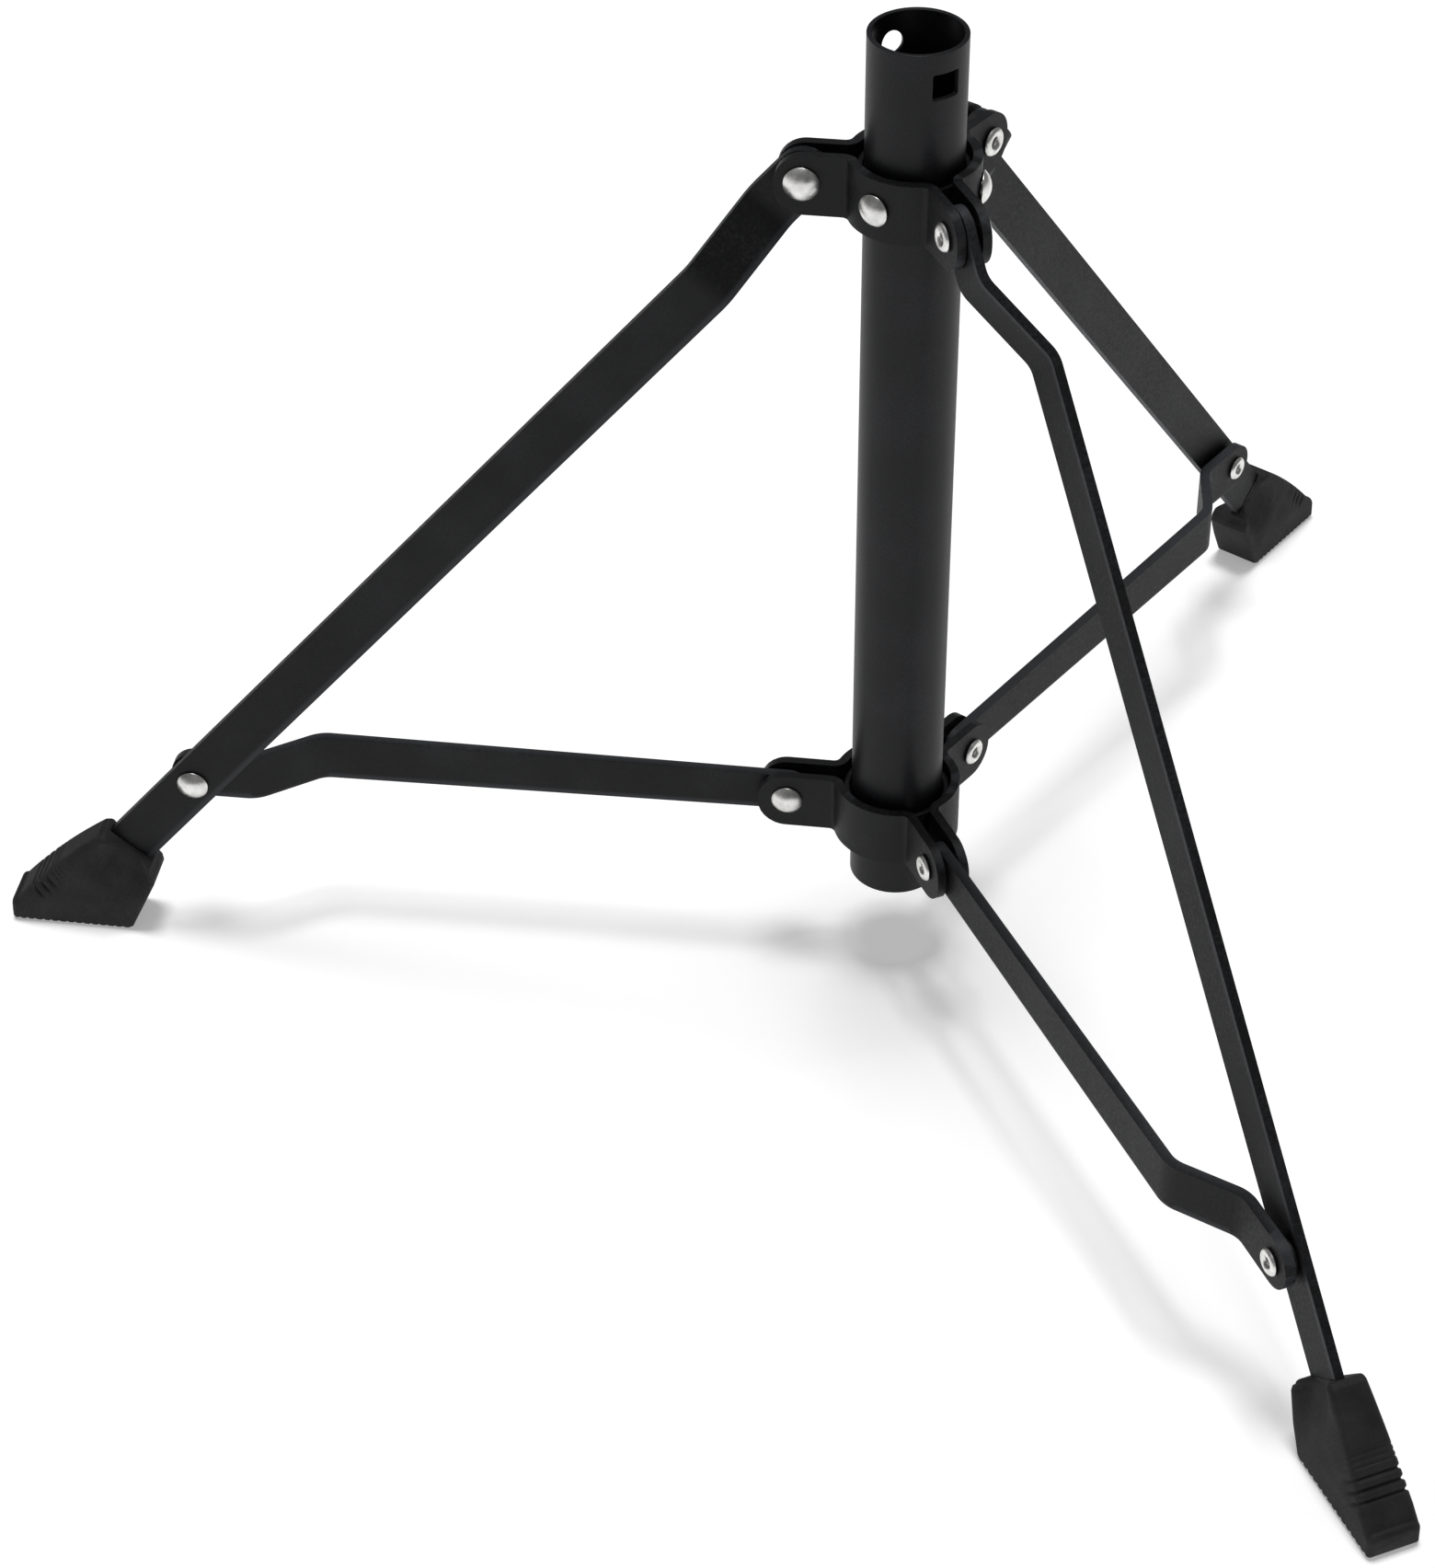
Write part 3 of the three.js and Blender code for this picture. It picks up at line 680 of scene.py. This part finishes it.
def collar_rivet():
    seat = wrap_radius(COLLAR) + PLATE_T / 2 + PLAY / 2
    low = 10.6 - seat
    return [(0, low), (1.7, low), (COLLAR_RIVET_R, low + 0.3), (COLLAR_RIVET_R, 0),
            *dome_points(4.3, 2.0, 0)], seat


def washer(radius, thickness):
    return ring_profile(RIVET_R + PLAY, radius, -thickness / 2, thickness / 2, 0.25)


print("pivot rivet profile", len(pivot_rivet(COLLAR, 4.7)), "points")

# %% Rivets and washers of every arm
SIDEWAYS = Matrix.Rotation(-math.pi / 2, 4, "X")
KNEE_HEAD_Y = LEG_SET_KNEE + LEG_T / 2 + PLAY / 2
KNEE_TAIL_Y = BRACE_SET - BRACE_T / 2 - PLAY / 2
KNEE_WASHER_Y = LEG_SET_KNEE - LEG_T / 2 - PLAY - KNEE_WASHER_T / 2
LEG_WASHER_Y = (LEG_T / 2 + COLLAR["left"] - PLATE_T / 2) / 2
knee_head = [(0, -(PLAY / 2 + LEG_T + PLAY + KNEE_WASHER_T)),
             (RIVET_R, -(PLAY / 2 + LEG_T + PLAY + KNEE_WASHER_T)), (RIVET_R, 0),
             *dome_points(4.5, 2.1, 0)]
knee_tail = [*ring_points(3.8, RIVET_R, 1.5)[::-1], (RIVET_R, PLAY / 2 + BRACE_T),
             (0, PLAY / 2 + BRACE_T)]
collar_dome, collar_seat = collar_rivet()

for n in (1, 2, 3):
    fittings = (
        ("leg_rivet", (COLLAR["r"], 0, COLLAR["z"]), pivot_rivet(COLLAR, 4.7), "base"),
        ("hub_rivet", (HUB["r"], 0, HUB["z"]), pivot_rivet(HUB, 4.4), "hub"),
        ("knee_head", (KNEE_R, KNEE_HEAD_Y, KNEE_Z), knee_head, f"leg_body_{n}"),
        ("knee_tail", (KNEE_R, KNEE_TAIL_Y, KNEE_Z), knee_tail, f"brace_body_{n}"),
    )
    for cad, spot, profile, body in fittings:
        points, faces = turned(profile, closed=False)
        place = arm_place(n) @ Matrix.Translation(spot) @ SIDEWAYS
        make_piece(f"{cad}_{n}_turned", points, faces, place, body, f"{cad}_{n}",
                   "rivet_plating", nickel_plate)
    for cad, spot, profile, body in (
            ("leg_washer", (COLLAR["r"], LEG_WASHER_Y, COLLAR["z"]),
             washer(5.2, LEG_WASHER_T), "base"),
            ("knee_washer", (KNEE_R, KNEE_WASHER_Y, KNEE_Z),
             washer(5.4, KNEE_WASHER_T), f"leg_body_{n}")):
        points, faces = turned(profile, closed=True)
        place = arm_place(n) @ Matrix.Translation(spot) @ SIDEWAYS
        make_piece(f"{cad}_{n}_turned", points, faces, place, body, f"{cad}_{n}",
                   "nylon", black_nylon)
    points, faces = turned(collar_dome, closed=False)
    outward = Matrix.Rotation(math.pi / 3, 4, "Z") @ Matrix.Translation((collar_seat, 0, RIVET_Z))
    place = arm_place(n) @ outward @ Matrix.Rotation(math.pi / 2, 4, "Y")
    make_piece(f"collar_rivet_{n}_turned", points, faces, place, "base", f"collar_rivet_{n}",
               "rivet_plating", nickel_plate)
print("rivets and washers on three arms")

# %% [markdown]
# ## Legs and braces
# The straps are cold-rolled flat bar, 14 mm wide for the legs, cropped to length with a
# round end and bent sideways in a press, so that leg and brace lie side by side where the
# knee rivet joins them. Seen from above the middle of a strap is a line with two soft
# bends; seen from the side it is a bar with a round end.


# %% Helper that draws a strap
HOLE_BLOCK = 3.6  # half the block of cells around a hole
THIN = 0.12  # the least half width at a round end, so that no cell closes up


def bent_line(corners, radius, count=10):
    line = [Vector(corners[0])]
    for before, here, after in zip(corners, corners[1:], corners[2:]):
        here = Vector(here)
        inward = (here - Vector(before)).normalized()
        outward = (Vector(after) - here).normalized()
        turn = math.atan2(inward.x * outward.y - inward.y * outward.x, inward.dot(outward))
        reach = radius * math.tan(abs(turn) / 2)
        for share in steps(0, 1, count):
            a = share * turn
            along = radius * math.sin(abs(a))
            off = math.copysign(radius * (1 - math.cos(a)), turn)
            start = here - inward * reach
            line.append(start + inward * along + Vector((-inward.y, inward.x)) * off)
    return line + [Vector(corners[-1])]


def strap(corners, thickness, half_width, holes_at, end_radius=0.0):
    """Flat bar along +X. half_width gives its half width at x; holes_at lists (x, z)."""
    line = bent_line(corners, BEND_R)
    end = corners[-1][0]
    near = half_width(0)
    stations = [-near * math.cos(a) for a in steps(0.0, math.pi / 2, 9)][:-1]
    stations = [x for x in stations if x < -HOLE_BLOCK]
    for x, _ in holes_at:
        stations += steps(x - HOLE_BLOCK, x + HOLE_BLOCK, 8)
    hole_spans = [(x - HOLE_BLOCK - 0.3, x + HOLE_BLOCK + 0.3) for x, _ in holes_at]
    plain = [p.x for p in line] + [x * 8.0 for x in range(2, int(end / 8) + 1)] + [end]
    stations += [x for x in plain if HOLE_BLOCK < x <= end
                 and not any(a < x < b for a, b in hole_spans)]
    if end_radius:
        stations += [end - end_radius * (1 - math.sin(a)) for a in steps(0.45, math.pi / 2, 8)]
    stations = sorted(stations)
    stations = [x for i, x in enumerate(stations) if i == 0 or x - stations[i - 1] > 0.02]

    def rows_at(x):
        half = half_width(max(x, 0.0))
        if x < 0:
            half = math.sqrt(max(near ** 2 - x ** 2, THIN ** 2))
        past = x - (end - end_radius)
        if end_radius and past > 0:
            half = min(half, math.sqrt(max(end_radius ** 2 - past ** 2, THIN ** 2)))
        return [half * j / 6 for j in range(-6, 7)]

    def to_space(x, z):
        i = max(k for k in range(len(line) - 1) if line[k].x <= x + 1e-9 or k == 0)
        a, b = line[i], line[i + 1]
        share = (x - a.x) / (b.x - a.x)
        slopes = [line[min(k + 1, len(line) - 1)] - line[max(k - 1, 0)] for k in (i, i + 1)]
        normals = [Vector((-s.y, s.x, 0)).normalized() for s in slopes]
        return (Vector((x, a.y + (b.y - a.y) * share, z)),
                normals[0].lerp(normals[1], min(max(share, 0), 1)).normalized())

    holes = [((x, z), circle_outline(RIVET_R + PLAY), nearest(stations, x - HOLE_BLOCK),
              nearest(stations, x + HOLE_BLOCK), 3, 9) for x, z in holes_at]
    return two_skins(*flat_sheet(stations, rows_at, holes), to_space, thickness)


print("strap helper ready")

# %% Legs and braces of every arm
leg_far = LEG_SET + LEG_LEAN * (LEG_END - LEG_JOGGLE[1])
leg_corners = [(-LEG_W, 0), (LEG_JOGGLE[0], 0), (LEG_JOGGLE[1], LEG_SET), (LEG_END, leg_far)]
brace_lean = BRACE_DRIFT / BRACE_JOGGLE[0]
EYE_R = BRACE_W / 2 + 1.5
brace_corners = [(-BRACE_W, -brace_lean * BRACE_W), (BRACE_JOGGLE[0], BRACE_DRIFT),
                 (BRACE_JOGGLE[1], BRACE_SET), (BRACE_SPAN + EYE_R, BRACE_SET)]
leg_mesh = strap(leg_corners, LEG_T, lambda x: LEG_W / 2, [(0, 0), (LEG_SPAN, 0)])
brace_mesh = strap(brace_corners, BRACE_T, lambda x: BRACE_W / 2 + 1.5 * x / BRACE_SPAN,
                   [(0, 0), (BRACE_SPAN, 0)], end_radius=EYE_R)
for n in (1, 2, 3):
    for (points, faces), label, pivot, tilt in (
            (leg_mesh, "leg", COLLAR, LEG_TILT), (brace_mesh, "brace", HUB, BRACE_TILT)):
        place = (arm_place(n) @ Matrix.Translation((pivot["r"], 0, pivot["z"]))
                 @ Matrix.Rotation(-tilt, 4, "Y"))
        make_piece(f"{label}_{n}_strap", points, faces, place, f"{label}_body_{n}",
                   f"{label}_{n}", "strap_coat", strap_coat, edge_mm=0.4)
print("straps of", len(leg_mesh[1]), "and", len(brace_mesh[1]), "faces")

# %% [markdown]
# ## Rubber feet
# A foot is a moulded wedge pushed onto the end of its leg. Its sole is flat and has fine
# grooves across it for grip, its back is steep, its top slopes down to a blunt toe, and
# three deep and three shallow grooves cross the top near the toe. The shape is a loft:
# closed outlines follow one another from the mouth to the toe, and faces join them. The
# grooves are pressed into the outlines themselves, so they are real shape.

# %% The foot seen from the side
along = Vector((math.cos(LEG_TILT), math.sin(LEG_TILT)))
across = Vector((-along.y, along.x))
mouth = Vector((COLLAR["r"], COLLAR["z"])) + along * MOUTH
MOUTH_LOW = mouth - across * (LEG_W / 2 + 2)
MOUTH_HIGH = mouth + across * (LEG_W / 2 + 2.2)
NOSE = Vector((255.2, 6.6))  # where the top ends above the toe
TOE_DEPTH = 1.7  # how far the blunt toe stands out
TOP_LENGTH = (NOSE - MOUTH_HIGH).length
SOLE_START, SOLE_END = 221.4, 254.9
low_path = [MOUTH_LOW, MOUTH_LOW + Vector((-0.4, -4.0)), Vector((219.6, 1.9)),
            Vector((220.1, 0.7)), Vector((SOLE_START, 0.0)), Vector((SOLE_END, 0.0))]
TOP_SLOPE = (NOSE - MOUTH_HIGH).normalized()
top_end = NOSE - TOP_SLOPE * 1.0
FOOT_HALF = 7.4  # half the width of the sole
TOP_HALF = 5.0  # half the width at the mouth
TAPER_FROM, TAPER_OVER = 9.0, 27.0  # heights between which the sides lean inward


def point_on(path, share):
    lengths = [(b - a).length for a, b in zip(path, path[1:])]
    left = share * sum(lengths)
    for a, b, length in zip(path, path[1:], lengths):
        if left <= length:
            return a + (b - a) * left / length
        left -= length
    return path[-1]


print("top of the foot", round(TOP_LENGTH, 1), "mm long")


# %% Outlines across the foot
def section(half, height, top_r, low_r):
    """A rounded box seen from the front, as (sideways, up) points from the middle of its base."""
    right = [((half - low_r) * a, 0.0) for a in (0, 0.33, 0.67)]
    right += fillet(half - low_r, low_r, low_r, -90, 0, 4)
    right += [(half, low_r + (height - low_r - top_r) * a) for a in steps(0, 1, 22)[1:-1]]
    right += fillet(half - top_r, height - top_r, top_r, 0, 90, 6)
    right += [((half - top_r) * a, height) for a in (0.67, 0.33)]
    return right + [(0.0, height)] + [(-y, h) for y, h in right[:0:-1]]


def smooth(value):
    value = min(max(value, 0.0), 1.0)
    return value * value * (3 - 2 * value)


# Grooves as (distance back from the toe, depth, half width).
TOP_GROOVES = ((14.4, 0.8, 0.8), (11.6, 0.95, 0.85), (8.8, 0.85, 0.8),
               (17.2, 0.3, 0.5), (18.7, 0.26, 0.5), (20.2, 0.22, 0.5))
CROWN = 1.1  # how far the top bulges between mouth and toe
SCOOP = 3.4  # how far the sides are hollowed at the mouth
SOLE_PITCH = 2.4  # from one groove of the sole to the next
SOLE_GROOVE = 0.28


def top_groove(back):
    """Depth at a distance back from the toe, measured on the top."""
    depth = 0.0
    for middle, deep, half in TOP_GROOVES:
        if abs(back - middle) < half:
            depth += deep * (0.5 + 0.5 * math.cos(math.pi * (back - middle) / half))
    return depth


def foot_ring(share, forward=0.0, inset=0.0):
    """The outline at a share of the way to the toe, moved forward and shrunk by inset."""
    crown = Vector((-TOP_SLOPE.y, TOP_SLOPE.x)) * CROWN * 4 * share * (1 - share)
    low, high = point_on(low_path, share), MOUTH_HIGH + (top_end - MOUTH_HIGH) * share + crown
    rise = (high - low).normalized()
    ahead = Vector((rise.y, -rise.x))
    height = (high - low).length
    outline = section(FOOT_HALF - inset, height - 2 * inset,
                      max(2.3 - inset, 0.5), max(1.0 - inset, 0.4))
    hollow = SCOOP * (1 - smooth(share / 0.36))
    ring = []
    for i, (y, h) in enumerate(outline):
        (y0, h0), (y1, h1) = outline[i - 1], outline[(i + 1) % len(outline)]
        out = Vector((h1 - h0, y0 - y1)).normalized()
        spot = low + rise * (h + inset) + ahead * forward
        back = (NOSE - spot).dot(TOP_SLOPE)
        below = abs(TOP_SLOPE.x * (spot.y - NOSE.y) - TOP_SLOPE.y * (spot.x - NOSE.x))
        press = top_groove(back) * (1 - smooth((below - 1.2) / 4.5))
        if spot.x > SOLE_START + 1 and h < 1.1 and inset < 1.5:
            wave = 0.5 + 0.5 * math.cos(2 * math.pi * spot.x / SOLE_PITCH)
            press += SOLE_GROOVE * smooth((wave - 0.55) / 0.3)
        y, h = y - out.x * press, h - out.y * press
        spot = low + rise * (h + inset) + ahead * forward
        lean = max(spot.y - TAPER_FROM, 0) / TAPER_OVER
        taper = 1 - lean * (1 - TOP_HALF / FOOT_HALF)
        level = (h + inset) / height
        waist = hollow * smooth((level - 0.02) / 0.3) * (1 - smooth((level - 0.62) / 0.3))
        side = y * taper - math.copysign(waist * smooth(abs(y) / 4), y)
        ring.append((spot.x, FOOT_SET + side, max(spot.y, 0.0)))
    return ring


def slot_ring(deep):
    """The opening that the strap goes into, at a depth below the mouth."""
    rise = (MOUTH_HIGH - MOUTH_LOW).normalized()
    ahead = Vector((rise.y, -rise.x))
    strap_y = LEG_SET + LEG_LEAN * (MOUTH + deep - LEG_JOGGLE[1])
    half, height = LEG_T / 2 + 0.2, LEG_W + 0.4
    base = (MOUTH_HIGH - MOUTH_LOW).length / 2 - height / 2 - 0.1
    ring = []
    for y, h in section(half, height, 0.5, 0.5):
        spot = MOUTH_LOW + rise * (h + base) + ahead * deep
        ring.append((spot.x, strap_y + y, spot.y))
    return ring


print("outline of", len(slot_ring(0)), "points")

# %% Feet of every arm
FOOT_STATIONS = 120
RIM = 1.5  # rounding of the mouth's edge
rings = [slot_ring(6.0), slot_ring(3.0), slot_ring(0.4), slot_ring(0.0)]
for a in steps(0, math.pi / 2, 5)[:-1]:
    rings.append(foot_ring(0.0, forward=RIM * (1 - math.cos(a)), inset=RIM * (1 - math.sin(a))))
rings += [foot_ring(share) for share in steps(RIM / TOP_LENGTH, 1, FOOT_STATIONS)]
for a in steps(0, math.pi / 2, 8)[1:]:
    rings.append(foot_ring(1.0, forward=TOE_DEPTH * math.sin(a),
                           inset=TOE_DEPTH * (1 - math.cos(a))))
count = len(rings[0])
foot_points = [point for ring in rings for point in ring]
foot_faces = [list(range(count)), [len(foot_points) - count + i for i in range(count)]]
for k in range(len(rings) - 1):
    for i in range(count):
        j = (i + 1) % count
        foot_faces.append([k * count + i, k * count + j,
                           (k + 1) * count + j, (k + 1) * count + i])
for n in (1, 2, 3):
    make_piece(f"foot_{n}_moulding", foot_points, foot_faces, arm_place(n), f"leg_body_{n}",
               f"foot_{n}", "foot_rubber", foot_rubber)
print("three feet of", len(foot_faces), "faces")

# %% [markdown]
# ## Floor, light and camera
# The stand is shown on a sheet of white acrylic that is lit a little from below, as on a
# product table, so its shadows stay pale. A wide soft light hangs almost straight above,
# so each leg throws a narrow blurred shadow along the floor below itself. An even white
# surround lifts the blacks and gives the nickel something to reflect. The floor lies
# under the open feet; when the stand folds, its feet swing below that level.

# %% Backlit white floor
white_floor, tree, shader = start_material("translucent_white_acrylic")
place = node(tree, "ShaderNodeTexCoord").outputs["Object"]
mottle = node(tree, "ShaderNodeTexNoise", links={"Vector": place}, Scale=6.0, Detail=3.0)
tone = ramp(tree, mottle.outputs["Fac"], [
    (0.3, hex_to_linear("F4F4F4")), (0.7, hex_to_linear("F8F8F8"))])
tree.links.new(tone.outputs["Color"], shader.inputs["Base Color"])
shader.inputs["Roughness"].default_value = 0.9
shader.inputs["Specular IOR Level"].default_value = 0.1
shader.inputs["Emission Color"].default_value = grey(1.0)
shader.inputs["Emission Strength"].default_value = 0.36
mesh = bpy.data.meshes.new("floor")
reach = 12.0
mesh.from_pydata([(-reach, -reach, 0), (reach, -reach, 0), (reach, reach, 0), (-reach, reach, 0)],
                 [], [(0, 1, 2, 3)])
mesh.materials.append(white_floor)
floor = bpy.data.objects.new("floor", mesh)
floor.location.z = cad_low[2] - 0.4 * MM
bpy.context.scene.collection.objects.link(floor)
print("floor", reach * 2, "m wide")

# %% Soft light and white surround
world = bpy.data.worlds.new("white_surround")
world.use_nodes = True
world.node_tree.nodes["Background"].inputs["Color"].default_value = grey(1.0)
world.node_tree.nodes["Background"].inputs["Strength"].default_value = 0.2
bpy.context.scene.world = world

light = bpy.data.lights.new("overhead", "AREA")
light.shape = "RECTANGLE"
light.size = light.size_y = 2.4
light.energy = 370
overhead = bpy.data.objects.new("overhead", light)
tube_foot = Vector((TUBE_X, TUBE_Y, 0.0))
overhead.location = tube_foot + Vector((0.2, 0.7, 8.0))
overhead.rotation_euler = (tube_foot - overhead.location).to_track_quat("-Z", "Y").to_euler()
bpy.context.scene.collection.objects.link(overhead)
view = bpy.context.scene.view_settings
view.view_transform = "Standard"
view.gamma = 0.83  # a little extra contrast, so that black steel stays black
print("overhead light", light.size, "m wide,", light.energy, "W")

# %% Camera
CAMERA_FROM_TUBE = (-0.4833, -0.6880, 0.7388)  # metres, from the tube's axis on the floor
HEADING, DOWN, LEVEL = -31.64, 50.89, -0.51  # degrees
camera = bpy.data.cameras.new("camera")
camera.lens = 88.03
camera.sensor_width = 36
camera.clip_start, camera.clip_end = 0.01, 50
holder = bpy.data.objects.new("camera", camera)
turn = (Matrix.Rotation(math.radians(HEADING), 4, "Z") @ Matrix.Rotation(math.radians(DOWN), 4, "X")
        @ Matrix.Rotation(math.radians(LEVEL), 4, "Z"))
spot = tube_foot + Vector(CAMERA_FROM_TUBE)
holder.matrix_world = Matrix.Translation(spot) @ turn
bpy.context.scene.collection.objects.link(holder)
bpy.context.scene.camera = holder
print("camera at", [round(v, 3) for v in spot])
